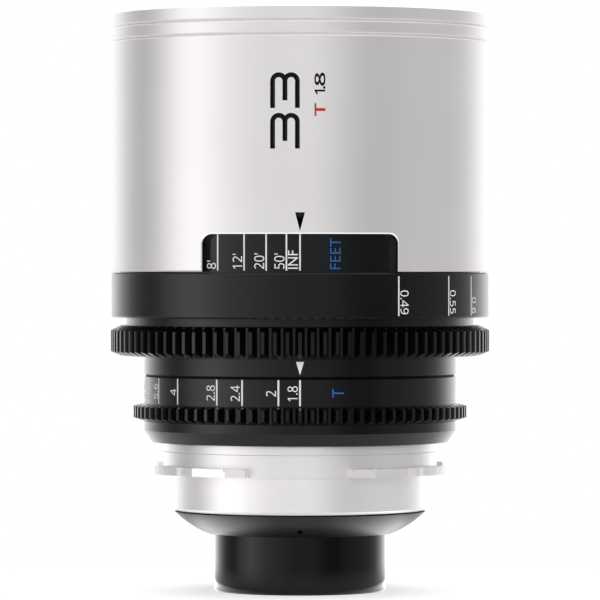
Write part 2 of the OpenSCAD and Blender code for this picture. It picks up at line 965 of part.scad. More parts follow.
module rear_housing() {
  color(black)
    difference() {
      rotate_extrude()
        polygon([
          [tube_r + seat_clear, shim_top],
          [housing_low_d / 2 - fine_break, shim_top],
          [housing_low_d / 2, shim_top + fine_break],
          [band_r, housing_taper_top],
          [band_r, housing_top],
          [journal_r + seat_clear, housing_top],
          [journal_r + seat_clear, floor_top],
          [tube_r + seat_clear, floor_top]
        ]);
      screw_holes(
        screw_count, 0, housing_screw_ring, shim_top + housing_head_h, housing_screw_r + seat_clear,
        housing_floor_t, housing_head_r + run_clear, housing_head_h + cut
      );
      around(screw_count, mount_screw_first)
        translate([0, -mount_screw_ring, shim_top - cut])
          cylinder(r = mount_screw_r, h = cut + housing_floor_t - screw_tip_gap);
    }
}

module housing_screws() {
  length = housing_floor_t - housing_head_h + rear_flange_t - 2 * screw_tip_gap;
  color(steel)
    around(screw_count)
      cap_screw(
        housing_screw_ring, shim_top + housing_head_h, housing_screw_r, length,
        housing_head_r, housing_head_h
      );
}

module mount_shim() {
  color(brass)
    difference() {
      ring(mount_bore_r, mount_r - step_line_w / 2, mount_top, shim_top);
      around(screw_count, mount_screw_first)
        translate([0, -mount_screw_ring, mount_top - cut])
          cylinder(r = mount_screw_r + seat_clear, h = shim_t + 2 * cut);
    }
}

module bayonet_mount() {
  step_z = mount_top - step_line_down;
  color(silver)
    difference() {
      union() {
        rotate_extrude()
          polygon([
            [pilot_bore_r, pilot_z0],
            [pilot_r - pilot_chamfer, pilot_z0],
            [pilot_r, pilot_z0 + pilot_chamfer],
            [pilot_r, seat_z],
            [mount_r, seat_z],
            [mount_r, step_z - step_line_w],
            [mount_r - step_line_w, step_z],
            [mount_r - step_line_w / 2, step_z],
            [mount_r - step_line_w / 2, mount_top - fine_break],
            [mount_r - step_line_w / 2 - fine_break, mount_top],
            [mount_bore_r, mount_top],
            [mount_bore_r, mount_web_z0],
            [pilot_bore_r, mount_web_z0]
          ]);
        for (k = [0 : lug_count - 1])
          rotate([0, 0, lug_first + k * 360 / lug_count])
            lug(k % 2 == 0 ? 1 : -1);
      }
      around(screw_count, mount_screw_first)
        translate([0, -mount_screw_ring, mount_web_z0 - cut])
          cylinder(r = mount_screw_r + seat_clear, h = mount_web_t + 2 * cut);
    }
}

// One lug: a flat pad on its edge, a slope on either side of it and a tab at the far end
module lug(side) {
  edge_r = lug_d / 2;
  tab_r = edge_r - lug_tab_drop;
  pad_from = -lug_pad_shift - lug_pad_span / 2;
  pad_to = pad_from + lug_pad_span;
  tab_from = pad_to + lug_slope_span + lug_tab_step;
  tab_span = lug_span / 2 - tab_from;
  reliefs = [
    bearing_point(edge_r, side * pad_from),
    bearing_point(edge_r - lug_relief_in, side * (tab_from - lug_relief_back))
  ];
  difference() {
    translate([0, 0, seat_z])
      linear_extrude(height = lug_t)
        polygon(concat(
          [
            bearing_point(edge_r - lug_fall, side * (lug_trim - lug_span / 2)),
            bearing_point(edge_r, side * pad_from),
            bearing_point(edge_r, side * pad_to),
            bearing_point(edge_r - lug_fall, side * (tab_from - lug_tab_step))
          ],
          [for (k = [0 : lug_steps]) bearing_point(tab_r, side * (tab_from + k / lug_steps * tab_span))],
          [
            for (k = [lug_steps : -1 : 0])
              bearing_point(
                mount_r - lug_root,
                side * (lug_span / 2 - (1 - k / lug_steps) * (lug_span - lug_trim))
              )
          ]
        ));
    for (spot = reliefs)
      translate([spot[0], spot[1], seat_z + lug_t - lug_relief_depth])
        cylinder(r = lug_relief_r, h = lug_relief_depth + cut);
  }
}

module mount_screws() {
  color(steel)
    around(screw_count, mount_screw_first)
      cap_screw(
        mount_screw_ring, mount_web_z0, mount_screw_r,
        mount_web_t + shim_t + housing_floor_t - 2 * screw_tip_gap, mount_head_r, mount_head_h
      );
}

module rear_cone() {
  floor_z = cone_z0 + cone_floor_t;
  color(black)
    difference() {
      rotate_extrude()
        polygon(concat(
          [[tube_r + seat_clear, cone_z0]],
          arc_between([cone_low_r, cone_z0], [cone_top_d / 2, cone_top], cone_swell, cone_steps),
          [
            [spigot_r, cone_top],
            [spigot_r, cone_top + cone_spigot_len],
            [spigot_r - spigot_wall, cone_top + cone_spigot_len],
            [spigot_r - spigot_wall, floor_z],
            [tube_r + seat_clear, floor_z]
          ]
        ));
      around(cone_screw_count)
        radial_pin(0, cone_z0 + cone_screw_up, cone_screw_d / 2, tube_r - cut, cone_top_d / 2);
    }
}

module cone_screws() {
  color(steel)
    around(cone_screw_count)
      grub(cone_z0 + cone_screw_up, cone_screw_d / 2, tube_r, cone_low_r + cone_screw_reach);
}

module rear_tube() {
  color(gloss)
    rotate_extrude()
      polygon([
        [tube_bore_r, 0],
        [tube_r - edge_break, 0],
        [tube_r, edge_break],
        [tube_r, floor_top],
        [tube_flange_r, floor_top],
        [tube_flange_r, floor_top + tube_flange_t],
        [tube_bore_r, floor_top + tube_flange_t],
        [tube_bore_r, rear_mid_z0],
        [tube_bore_r - rear_lip_w, rear_mid_z0],
        [tube_bore_r - rear_lip_w, rear_lip_z0],
        [tube_bore_r, rear_lip_z0]
      ]);
}

module rear_element() {
  color(glass)
    round_glass(rear_lens_r, rear_glass_z0, rear_lip_z0, rear_curves);
}

module rear_middle_element() {
  color(glass)
    round_glass(rear_lens_r, rear_mid_z0, rear_mid_top, rear_middle_curves);
}

module rear_inner_element() {
  color(glass)
    round_glass(rear_lens_r, rear_inner_z0, rear_inner_top, rear_inner_curves);
}

module rear_spacer() {
  color(black)
    ring(rear_lens_r - lens_land, rear_lens_r, rear_mid_top, rear_inner_z0);
}

module rear_lock_ring() {
  color(black)
    difference() {
      ring(rear_lens_r - lens_land, rear_lens_r, rear_inner_top, rear_inner_top + rear_ring_t);
      spanner_slots(rear_lens_r - lens_land, rear_lens_r, rear_inner_top + rear_ring_t);
    }
}

module rear_retaining_ring() {
  color(black)
    difference() {
      ring(rear_lens_r - rear_ring_wall, rear_lens_r, rear_cap, rear_glass_z0);
      translate([0, 0, 2 * rear_cap])
        mirror([0, 0, 1])
          spanner_slots(rear_lens_r - rear_ring_wall, rear_lens_r, rear_cap);
    }
}

// Floor that the blades pivot in, with a rim that guides the drive ring
module iris_housing() {
  color(black)
    difference() {
      rotate_extrude()
        polygon([
          [iris_hole_r, rear_flange_top],
          [iris_unit_r, rear_flange_top],
          [iris_unit_r, iris_rim_top],
          [drive_r + run_clear, iris_rim_top],
          [drive_r + run_clear, iris_floor_top],
          [iris_hole_r, iris_floor_top]
        ]);
      around(blades)
        translate([0, -pivot_r, rear_flange_top - cut])
          cylinder(r = blade_pin_r + run_clear, h = iris_floor_t + 2 * cut);
      ring_part(
        drive_r - cut, iris_unit_r + cut, drive_mid - drive_pin_r - drive_slot_h, iris_rim_top + cut,
        drive_pin_angle - drive_slot_margin, drive_pin_angle + iris_turn + drive_slot_margin
      );
      around(rim_screws, rim_screw_first)
        translate([0, -rim_screw_ring, iris_rim_top - rim_screw_depth])
          cylinder(r = rim_screw_r, h = rim_screw_depth + cut);
    }
}

module iris_retainer() {
  color(black)
    difference() {
      ring(iris_hole_r, iris_unit_r, iris_rim_top, iris_rim_top + iris_retainer_t);
      around(rim_screws, rim_screw_first)
        translate([0, -rim_screw_ring, iris_rim_top - cut])
          cylinder(r = rim_screw_r + seat_clear, h = iris_retainer_t + 2 * cut);
    }
}

module iris_retainer_screws() {
  length = iris_retainer_t + rim_screw_depth - screw_tip_gap;
  color(steel)
    around(rim_screws, rim_screw_first)
      translate([0, 0, iris_rim_top + iris_retainer_t])
        mirror([0, 0, 1])
          cap_screw(rim_screw_ring, 0, rim_screw_r, length, rim_head_r, rim_head_h);
}

// Gear, metre band and the scale sleeve behind the window
module focus_ring() {
  band_r_top = focus_band_d / 2;
  gear_foot_r = focus_root_r - root_drop;
  color(black)
    difference() {
      rotate_extrude()
        polygon([
          [collar_r + scale_clear, focus_z0],
          [gear_foot_r, focus_z0],
          [focus_tip_r, focus_z0 + focus_low_chamfer],
          [focus_tip_r, focus_gear_top - focus_top_chamfer],
          [gear_foot_r, focus_gear_top],
          [neck_r, focus_gear_top],
          [neck_r, neck_top],
          [band_r_top - edge_break, neck_top],
          [band_r_top, neck_top + edge_break],
          [band_r_top, focus_band_top - edge_break],
          [band_r_top - edge_break, focus_band_top],
          [scale_r, focus_band_top],
          [scale_r, scale_top],
          [cam_out_r, scale_top],
          [cam_out_r, cam_z0],
          [collar_r + scale_clear, cam_z0]
        ]);
      tooth_gaps(focus_teeth, focus_tip_r, focus_root_r, focus_z0 - cut, focus_gear_top + cut);
      around(focus_guides)
        radial_pin(0, cam_screw_z, cam_screw_r, cam_out_r - cut, scale_r + cut);
    }
}

// Sleeve inside the focus ring whose helical slots drive the focus group
module cam_sleeve() {
  color(steel)
    difference() {
      ring(cam_in_r, cam_out_r, cam_z0, scale_top);
      for (k = [0 : focus_guides - 1])
        cam_slot(k * 360 / focus_guides);
      ring_part(
        cam_in_r - cut, cam_out_r + cut, scale_top - stop_depth, scale_top + cut,
        stop_angle - focus_turn - stop_margin, stop_angle + stop_margin
      );
      around(focus_guides)
        radial_pin(0, cam_screw_z, cam_screw_r, cam_in_r - cut, cam_out_r + cut);
    }
}

module cam_screws() {
  color(steel)
    around(focus_guides)
      grub(cam_screw_z, cam_screw_r, cam_in_r + screw_tip_gap, scale_r - grub_sunk);
}

// Cell that slides in the main barrel
module focus_carrier() {
  color(black)
    difference() {
      rotate_extrude()
        polygon([
          [carrier_bore_r - carrier_lip_w, carrier_z0],
          [carrier_r, carrier_z0],
          [carrier_r, carrier_z0 + carrier_len],
          [carrier_bore_r, carrier_z0 + carrier_len],
          [carrier_bore_r, focus_seat],
          [carrier_bore_r - carrier_lip_w, focus_seat]
        ]);
      around(focus_guides)
        radial_pin(0, follower_z, follower_r, carrier_bore_r - cut, carrier_r + cut);
    }
}

module focus_rear_element() {
  color(glass)
    round_glass(focus_lens_r, focus_seat, focus_mid_1, focus_rear_curves);
}

module focus_front_element() {
  color(glass)
    round_glass(focus_lens_r, focus_mid_2, focus_mid_3, focus_front_curves);
}

module focus_spacer() {
  color(black)
    ring(focus_lens_r - lens_land, focus_lens_r, focus_mid_1, focus_mid_2);
}

module focus_retaining_ring() {
  color(black)
    difference() {
      ring(focus_lens_r - lens_land, focus_lens_r, focus_mid_3, focus_mid_3 + focus_ring_t);
      spanner_slots(focus_lens_r - lens_land, focus_lens_r, focus_mid_3 + focus_ring_t);
    }
}

module cam_followers() {
  color(brass)
    around(focus_guides)
      grub(follower_z, follower_r, carrier_bore_r + ring_gap, follower_tip_r);
}

module iris_ring() {
  color(black)
    difference() {
      rotate_extrude()
        polygon([
          [cam_in_r, iris_z0],
          [iris_root_r - root_drop, iris_z0],
          [iris_tip_r, iris_z0 + iris_low_chamfer],
          [iris_tip_r, iris_gear_top - iris_top_chamfer],
          [iris_root_r - root_drop, iris_gear_top],
          [band_r, iris_gear_top],
          [band_r, iris_top - fine_break],
          [band_r - fine_break, iris_top],
          [cam_in_r, iris_top]
        ]);
      tooth_gaps(iris_teeth, iris_tip_r, iris_root_r, iris_z0 - cut, iris_gear_top + cut);
      radial_pin(drive_pin_angle, drive_mid, drive_pin_r, journal_r - cut, drive_pin_out_r);
    }
}

// Where a blade's drive pin stands in the drive ring after the ring has turned
function slot_point(turn) =
  let (
    pivot = [pivot_r, 0],
    pin = pivot_r * [cos(pin_lead), sin(pin_lead)]
  )
  turned(pivot + turned(pin - pivot, turn * blade_ratio), -turn);

module iris_drive_ring() {
  path = [for (k = [0 : slot_steps]) slot_point(iris_turn * k / slot_steps)];
  nudge = 0.01;
  sides = [
    for (k = [0 : slot_steps])
      let (
        t = iris_turn * k / slot_steps,
        along = slot_point(t + nudge) - slot_point(t - nudge)
      )
      cam_slot_r * [-along[1], along[0]] / norm(along)
  ];
  color(steel)
    difference() {
      ring(drive_bore_r, drive_r, drive_z0, drive_top);
      around(blades, -90)
        translate([0, 0, drive_z0 - cut])
          linear_extrude(drive_t + 2 * cut)
            union() {
              polygon(concat(
                [for (k = [0 : slot_steps]) path[k] + sides[k]],
                [for (k = [slot_steps : -1 : 0]) path[k] - sides[k]]
              ));
              for (end = [path[0], path[slot_steps]])
                translate(end)
                  circle(r = cam_slot_r);
            }
      radial_pin(drive_pin_angle, drive_mid, drive_pin_r, drive_pin_in_r, drive_r + cut);
    }
}

module iris_drive_pin() {
  color(steel)
    radial_pin(drive_pin_angle, drive_mid, drive_pin_r, drive_pin_in_r, drive_pin_out_r);
}

// Crescent blade at its own level, with a pivot pin down and a drive pin up
module iris_blade(index) {
  z = stack_z0 + (index - 1) * blade_pitch;
  pin = pivot_r * [cos(pin_lead), sin(pin_lead)];
  color(gloss)
    rotate([0, 0, (index - 1) * 360 / blades - 90]) {
      translate([0, 0, z])
        linear_extrude(blade_t)
          union() {
            wedge(iris_open_r, blade_out_r, 0, blade_span);
            wedge(blade_out_r - ear_lap, pivot_r, 0, pin_lead);
            translate([pivot_r, 0])
              circle(r = ear_r);
            translate(pin)
              circle(r = ear_r);
          }
      translate([pivot_r, 0, rear_flange_top + blade_gap])
        cylinder(r = blade_pin_r, h = z - rear_flange_top - blade_gap + blade_t / 2);
      translate([pin[0], pin[1], z + blade_t / 2])
        cylinder(r = blade_pin_r, h = drive_top - blade_gap - z - blade_t / 2);
    }
}

// Flat ring sector from one angle to another, measured from +X
module wedge(r0, r1, from, to) {
  reach = 2 * r1;
  intersection() {
    difference() {
      circle(r = r1);
      circle(r = r0);
    }
    polygon(concat(
      [[0, 0]],
      [
        for (k = [0 : wedge_steps])
          let (bearing = from + (to - from) * k / wedge_steps)
          reach * [cos(bearing), sin(bearing)]
      ]
    ));
  }
}

module iris_blade_1() { iris_blade(1); }
module iris_blade_2() { iris_blade(2); }
module iris_blade_3() { iris_blade(3); }
module iris_blade_4() { iris_blade(4); }
module iris_blade_5() { iris_blade(5); }
module iris_blade_6() { iris_blade(6); }
module iris_blade_7() { iris_blade(7); }
module iris_blade_8() { iris_blade(8); }

front_barrel();
front_ring();
front_retaining_ring();
front_cell();
front_element();
second_element();
third_element();
front_spacer();
cell_retaining_ring();
cell_key();
barrel_screws();
main_barrel();
focus_stop_pin();
thrust_washer();
iris_washer();
index_ring();
index_screws();
rear_housing();
housing_screws();
mount_shim();
bayonet_mount();
mount_screws();
rear_cone();
cone_screws();
rear_tube();
rear_inner_element();
rear_middle_element();
rear_element();
rear_spacer();
rear_lock_ring();
rear_retaining_ring();
iris_housing();
iris_retainer();
iris_retainer_screws();
focus_ring();
cam_sleeve();
cam_screws();
focus_carrier();
focus_front_element();
focus_rear_element();
focus_spacer();
focus_retaining_ring();
cam_followers();
iris_ring();
iris_drive_ring();
iris_drive_pin();
iris_blade_1();
iris_blade_2();
iris_blade_3();
iris_blade_4();
iris_blade_5();
iris_blade_6();
iris_blade_7();
iris_blade_8();
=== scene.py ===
import json
import math

import bpy
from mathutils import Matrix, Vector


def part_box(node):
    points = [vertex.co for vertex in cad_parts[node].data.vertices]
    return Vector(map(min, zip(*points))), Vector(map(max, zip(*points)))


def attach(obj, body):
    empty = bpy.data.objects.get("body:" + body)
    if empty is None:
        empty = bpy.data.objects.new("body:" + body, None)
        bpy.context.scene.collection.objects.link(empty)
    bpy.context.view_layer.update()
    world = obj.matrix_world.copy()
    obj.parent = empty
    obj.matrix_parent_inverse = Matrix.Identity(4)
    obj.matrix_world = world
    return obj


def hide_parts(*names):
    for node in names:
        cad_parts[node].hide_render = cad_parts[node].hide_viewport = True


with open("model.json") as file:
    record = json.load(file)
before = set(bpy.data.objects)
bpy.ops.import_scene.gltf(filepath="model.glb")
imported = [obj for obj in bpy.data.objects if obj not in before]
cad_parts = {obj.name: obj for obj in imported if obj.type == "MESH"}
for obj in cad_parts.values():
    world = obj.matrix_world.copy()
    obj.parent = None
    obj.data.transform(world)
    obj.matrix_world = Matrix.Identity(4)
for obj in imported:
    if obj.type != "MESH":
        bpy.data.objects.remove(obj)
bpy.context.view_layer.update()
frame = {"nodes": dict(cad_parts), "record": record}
scene = bpy.context.scene
mm = 0.001
seam = 0.0004 * mm  # points nearer than this are one point
level = 0.001 * mm  # places that differ by less are level
print("frame loaded,", len(frame["nodes"]), "nodes")


def spanOf(node):
    # a turned node's radius, foot and top in millimetres, to a hundredth
    low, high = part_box(node)
    span = {"radius": max(-low[0], -low[1], high[0], high[1]), "low": low[2], "top": high[2]}
    return {name: round(value / mm, 2) for name, value in span.items()}


def deselect():
    if bpy.context.mode != "OBJECT":
        bpy.ops.object.mode_set(mode="OBJECT")
    bpy.ops.object.select_all(action="DESELECT")


def makeActive(piece):
    deselect()
    piece.select_set(True)
    bpy.context.view_layer.objects.active = piece


def openEdit(piece):
    makeActive(piece)
    bpy.ops.object.mode_set(mode="EDIT")
    bpy.ops.mesh.select_mode(type="VERT")
    bpy.ops.mesh.select_all(action="SELECT")


def pickParts(piece, kind, picks):
    # leaves only these edges or faces selected, and opens the piece for editing
    for name in ("vertices", "edges", "polygons"):
        group = getattr(piece.data, name)
        group.foreach_set("select", picks if name == kind else [False] * len(group))
    bpy.context.tool_settings.mesh_select_mode = (False, kind == "edges", kind == "polygons")
    bpy.ops.object.mode_set(mode="EDIT")


def closeSeams(piece):
    openEdit(piece)
    bpy.ops.mesh.remove_doubles(threshold=seam)
    bpy.ops.mesh.normals_make_consistent(inside=False)
    bpy.ops.object.mode_set(mode="OBJECT")


def applyPlace(piece):
    makeActive(piece)
    bpy.ops.object.transform_apply(location=True, rotation=True, scale=True)


# camera at the photo's eye, a long lens a metre away
shot = {
    "distance": 1.026, "height": 0.0686, "aimHeight": 0.0614, "focal": 290.9, "sensor": 36, "clip": 0.02,
}
deselect()
bpy.ops.object.camera_add(location=(0, -shot["distance"], shot["height"]))
camera = bpy.context.object
camera.name = "shotCamera"
tip = math.atan2(shot["height"] - shot["aimHeight"], shot["distance"])
camera.rotation_euler = (math.pi / 2 - tip, 0, 0)
camera.data.lens = shot["focal"]
camera.data.sensor_width = shot["sensor"]
camera.data.clip_start = shot["clip"]
scene.camera = camera
scene.view_settings.view_transform = "Standard"
print("camera set")


# materials, with patterns on Object coordinates, so many waves to the metre
colourMix = {"share": 0, "first": 6, "second": 7, "result": 2}  # sockets of a mix node set to colours


def startMaterial(name):
    material = bpy.data.materials.new(name)
    material.use_nodes = True
    nodes = material.node_tree.nodes
    return material, nodes, material.node_tree.links, nodes["Principled BSDF"]


def addNoise(nodes, links, stretch, detail):
    # the mapping alone sets the size of the pattern
    where = nodes.new("ShaderNodeTexCoord")
    mapping = nodes.new("ShaderNodeMapping")
    mapping.inputs["Scale"].default_value = stretch
    noise = nodes.new("ShaderNodeTexNoise")
    noise.inputs["Scale"].default_value = 1.0
    noise.inputs["Detail"].default_value = detail
    links.new(where.outputs["Object"], mapping.inputs["Vector"])
    links.new(mapping.outputs["Vector"], noise.inputs["Vector"])
    return noise.outputs["Fac"]


def addRange(nodes, links, source, low, high, fromLow=0.3, fromHigh=0.7):
    # the usual reach of the noise unless another is given
    spread = nodes.new("ShaderNodeMapRange")
    spread.inputs["From Min"].default_value = fromLow
    spread.inputs["From Max"].default_value = fromHigh
    spread.inputs["To Min"].default_value = low
    spread.inputs["To Max"].default_value = high
    links.new(source, spread.inputs["Value"])
    return spread.outputs["Result"]


def addTwoTone(nodes, links, source, first, second):
    mix = nodes.new("ShaderNodeMix")
    mix.data_type = "RGBA"
    mix.inputs[colourMix["first"]].default_value = (*first, 1)
    mix.inputs[colourMix["second"]].default_value = (*second, 1)
    links.new(source, mix.inputs[colourMix["share"]])
    return mix.outputs[colourMix["result"]]


def addBump(nodes, links, source, strength, depth, before=None):
    bump = nodes.new("ShaderNodeBump")
    bump.inputs["Strength"].default_value = strength
    bump.inputs["Distance"].default_value = depth * mm
    links.new(source, bump.inputs["Height"])
    if before:
        links.new(before, bump.inputs["Normal"])
    return bump.outputs["Normal"]


# what the turned finishes have in common
turned = {"lineDetail": 3.0, "grainDetail": 2.0, "bumpDepth": 0.004, "ior": 1.5, "sheenTint": (1, 1, 1)}


def turnedFinish(name, look):
    # fine lathe lines round the axis, a blasted grain and a slow change of tone
    material, nodes, links, shader = startMaterial(name)
    lines = addNoise(nodes, links, look["lines"], turned["lineDetail"])
    grain = addNoise(nodes, links, (look["grain"],) * 3, turned["grainDetail"])
    clouds = addNoise(nodes, links, (look["clouds"],) * 3, turned["grainDetail"])
    tone = addRange(nodes, links, clouds, 0, 1)
    links.new(addTwoTone(nodes, links, tone, look["dark"], look["light"]), shader.inputs["Base Color"])
    links.new(addRange(nodes, links, lines, *look["rough"]), shader.inputs["Roughness"])
    normal = addBump(nodes, links, lines, look["lineBump"], turned["bumpDepth"])
    normal = addBump(nodes, links, grain, look["grainBump"], turned["bumpDepth"], normal)
    links.new(normal, shader.inputs["Normal"])
    shader.inputs["Metallic"].default_value = look["metal"]
    shader.inputs["IOR"].default_value = look.get("ior", turned["ior"])
    shader.inputs["Specular Tint"].default_value = (*look.get("sheenTint", turned["sheenTint"]), 1)
    return material


silverLook = {
    "dark": (0.84, 0.81, 0.817), "light": (0.87, 0.84, 0.847), "rough": (0.32, 0.38), "metal": 0.47,
    "lines": (5, 5, 3200), "grain": 9000, "clouds": 30, "lineBump": 0.10, "grainBump": 0.06,
}
mountLook = {
    "dark": (0.86, 0.84, 0.836), "light": (0.89, 0.87, 0.866), "rough": (0.30, 0.36), "metal": 0.46,
    "lines": (5, 5, 4200), "grain": 11000, "clouds": 40, "lineBump": 0.10, "grainBump": 0.04,
}
blackLook = {
    "dark": (0.0016, 0.0016, 0.0018), "light": (0.0026, 0.0027, 0.003), "rough": (0.20, 0.24),
    "metal": 0.0, "ior": 1.4, "sheenTint": (0.90, 0.96, 1.0),
    "lines": (6, 6, 3600), "grain": 8000, "clouds": 60, "lineBump": 0.02, "grainBump": 0.06,
}
satinLook = {
    "dark": (0.003, 0.003, 0.0032), "light": (0.004, 0.004, 0.0043), "rough": (0.34, 0.40),
    "metal": 0.0, "ior": 1.45, "sheenTint": (0.90, 0.97, 1.0),
    "lines": (6, 6, 3000), "grain": 9000, "clouds": 60, "lineBump": 0.02, "grainBump": 0.06,
}
glossLook = {
    "dark": (0.0009, 0.0009, 0.001), "light": (0.0015, 0.0015, 0.0017), "rough": (0.03, 0.05),
    "metal": 0.0, "ior": 1.34, "sheenTint": (0.90, 0.96, 1.0),
    "lines": (6, 6, 2000), "grain": 5000, "clouds": 50, "lineBump": 0.02, "grainBump": 0.02,
}
# painted shade: near black with almost no reflection, for the washer in the gap between the rings and the
# screws sunk in the cone's holes
gapShadeLook = {
    "dark": (0.0004, 0.0004, 0.0005), "light": (0.0007, 0.0007, 0.0008), "rough": (0.50, 0.60),
    "metal": 0.0, "ior": 1.15,
    "lines": (20, 20, 1500), "grain": 7000, "clouds": 80, "lineBump": 0.05, "grainBump": 0.10,
}
brightLook = {
    "dark": (0.93, 0.92, 0.92), "light": (0.96, 0.95, 0.95), "rough": (0.26, 0.34), "metal": 1.0,
    "lines": (30, 30, 4000), "grain": 9000, "clouds": 80, "lineBump": 0.04, "grainBump": 0.02,
}
steelLook = {
    "dark": (0.52, 0.52, 0.53), "light": (0.60, 0.60, 0.61), "rough": (0.24, 0.34), "metal": 1.0,
    "lines": (40, 40, 5000), "grain": 14000, "clouds": 90, "lineBump": 0.12, "grainBump": 0.03,
}
brassLook = {
    "dark": (0.62, 0.45, 0.20), "light": (0.71, 0.54, 0.27), "rough": (0.24, 0.36), "metal": 1.0,
    "lines": (40, 40, 5000), "grain": 14000, "clouds": 120, "lineBump": 0.12, "grainBump": 0.03,
}
slipLook = {
    "dark": (0.018, 0.018, 0.018), "light": (0.026, 0.026, 0.026), "rough": (0.50, 0.62), "metal": 0.0,
    "lines": (20, 20, 1500), "grain": 7000, "clouds": 80, "lineBump": 0.05, "grainBump": 0.10,
}
silverFinish = turnedFinish("silverFinish", silverLook)
mountFinish = turnedFinish("mountFinish", mountLook)
blackFinish = turnedFinish("blackFinish", blackLook)
satinFinish = turnedFinish("satinFinish", satinLook)
glossFinish = turnedFinish("glossFinish", glossLook)
gapShadeFinish = turnedFinish("gapShadeFinish", gapShadeLook)
brightFinish = turnedFinish("brightFinish", brightLook)
steelFinish = turnedFinish("steelFinish", steelLook)
brassFinish = turnedFinish("brassFinish", brassLook)
slipFinish = turnedFinish("slipFinish", slipLook)

glass = {"ior": 1.52, "filmIor": 1.233, "smears": 90, "smearDetail": 4.0, "rough": (0.005, 0.03)}


def glassFinish(name, tint, film):
    # polished glass with a quarter wave coating, which leaves a faint coloured reflection
    material, nodes, links, shader = startMaterial(name)
    shader.inputs["Base Color"].default_value = (*tint, 1)
    shader.inputs["Transmission Weight"].default_value = 1.0
    shader.inputs["IOR"].default_value = glass["ior"]
    shader.inputs["Thin Film Thickness"].default_value = film
    shader.inputs["Thin Film IOR"].default_value = glass["filmIor"]
    smears = addNoise(nodes, links, (glass["smears"],) * 3, glass["smearDetail"])
    links.new(addRange(nodes, links, smears, *glass["rough"]), shader.inputs["Roughness"])
    return material


frontGlass = glassFinish("frontGlass", (0.93, 0.96, 0.97), 136)
innerGlass = glassFinish("innerGlass", (0.86, 0.90, 0.91), 126)

enamel = {
    "spots": 900, "spotDetail": 3.0, "dull": 0.9, "roughSpread": 0.06, "bump": 0.15, "bumpDepth": 0.01,
}


def paintFinish(name, colour, rough, ior=1.5, paintedGlow=0.0):
    # enamel rubbed into an engraving: a little uneven in tone and gloss; a glow, where given, is painted
    # light that makes the paint shine by itself
    material, nodes, links, shader = startMaterial(name)
    spots = addNoise(nodes, links, (enamel["spots"],) * 3, enamel["spotDetail"])
    dull = tuple(enamel["dull"] * part for part in colour)
    tone = addTwoTone(nodes, links, addRange(nodes, links, spots, 0, 1), dull, colour)
    gloss = addRange(nodes, links, spots, rough - enamel["roughSpread"], rough + enamel["roughSpread"])
    normal = addBump(nodes, links, spots, enamel["bump"], enamel["bumpDepth"])
    links.new(tone, shader.inputs["Base Color"])
    links.new(gloss, shader.inputs["Roughness"])
    links.new(normal, shader.inputs["Normal"])
    shader.inputs["IOR"].default_value = ior
    # painted light: the paint glows by itself, so it stays bright where the lamps leave it dim
    shader.inputs["Emission Color"].default_value = (*colour, 1)
    shader.inputs["Emission Strength"].default_value = paintedGlow
    return material


# the white paint gets a painted glow, which lifts it where the lamps leave it dim
whitePaintWithGlow = paintFinish("whitePaintWithGlow", (0.82, 0.82, 0.81), 0.5, paintedGlow=0.25)
bluePaint = paintFinish("bluePaint", (0.022, 0.17, 0.62), 0.45)
redPaint = paintFinish("redPaint", (0.50, 0.012, 0.022), 0.4)
blackPaint = paintFinish("blackPaint", (0.0008, 0.0008, 0.001), 0.08, ior=1.24)

slotFinish = {
    "silver_anodised": mountFinish, "black_anodised": blackFinish, "gloss_black": glossFinish,
    "steel": steelFinish, "brass": brassFinish, "optical_glass": innerGlass, "slip_plastic": slipFinish,
}
# the washer and the cone's screws take the near black finish: painted shade in the gap and the holes
ownFinish = {
    "front_element": frontGlass, "rear_cone": satinFinish, "cone_screws": gapShadeFinish,
    "iris_washer": gapShadeFinish, "mount_shim": steelFinish,
}
for entry in frame["record"]["subparts"]:
    node = frame["nodes"][entry["node"]]
    node.data.materials.clear()
    node.data.materials.append(ownFinish.get(entry["node"], slotFinish[entry["material_slot"]]))
print("finishes given to the solids")


# shared ways of shaping, with sizes in millimetres

def lathe(name, outline, steps):
    # walks the outline with extruded points, then spins it round the axis
    deselect()
    bpy.ops.mesh.primitive_plane_add(size=mm)
    piece = bpy.context.object
    piece.name = name
    openEdit(piece)
    bpy.ops.mesh.merge(type="CENTER")
    x, z = outline[0]
    bpy.ops.transform.translate(value=(x * mm, 0, z * mm))
    for nextX, nextZ in outline[1:] + outline[:1]:
        move = ((nextX - x) * mm, 0, (nextZ - z) * mm)
        bpy.ops.mesh.extrude_region_move(TRANSFORM_OT_translate={"value": move})
        x, z = nextX, nextZ
    bpy.ops.mesh.select_all(action="SELECT")
    bpy.ops.mesh.spin(steps=steps, angle=2 * math.pi, center=(0, 0, 0), axis=(0, 0, 1))
    bpy.ops.object.mode_set(mode="OBJECT")
    closeSeams(piece)
    return piece


def wrapRound(piece, radius, turn=0.0):
    # rolls a flat piece onto a cylinder: x becomes the way round, y the depth
    for vert in piece.data.vertices:
        x, y, z = vert.co
        bearing = x / (radius * mm) + turn
        reach = radius * mm - y
        vert.co = (reach * math.sin(bearing), -reach * math.cos(bearing), z)


def fitTriangle(piece, mark, top, near, far):
    # stretches a three sided primitive to an upright mark with its point down
    xs = [vert.co.x for vert in piece.data.vertices]
    ys = [vert.co.y for vert in piece.data.vertices]
    middle, wide = (max(xs) + min(xs)) / 2, max(xs) - min(xs)
    low, tall = min(ys), max(ys) - min(ys)
    for vert in piece.data.vertices:
        across = (vert.co.x - middle) / wide * mark["width"]
        up = top - (vert.co.y - low) / tall * mark["height"]
        depth = near if vert.co.z < 0 else far
        vert.co = (across * mm, depth * mm, up * mm)


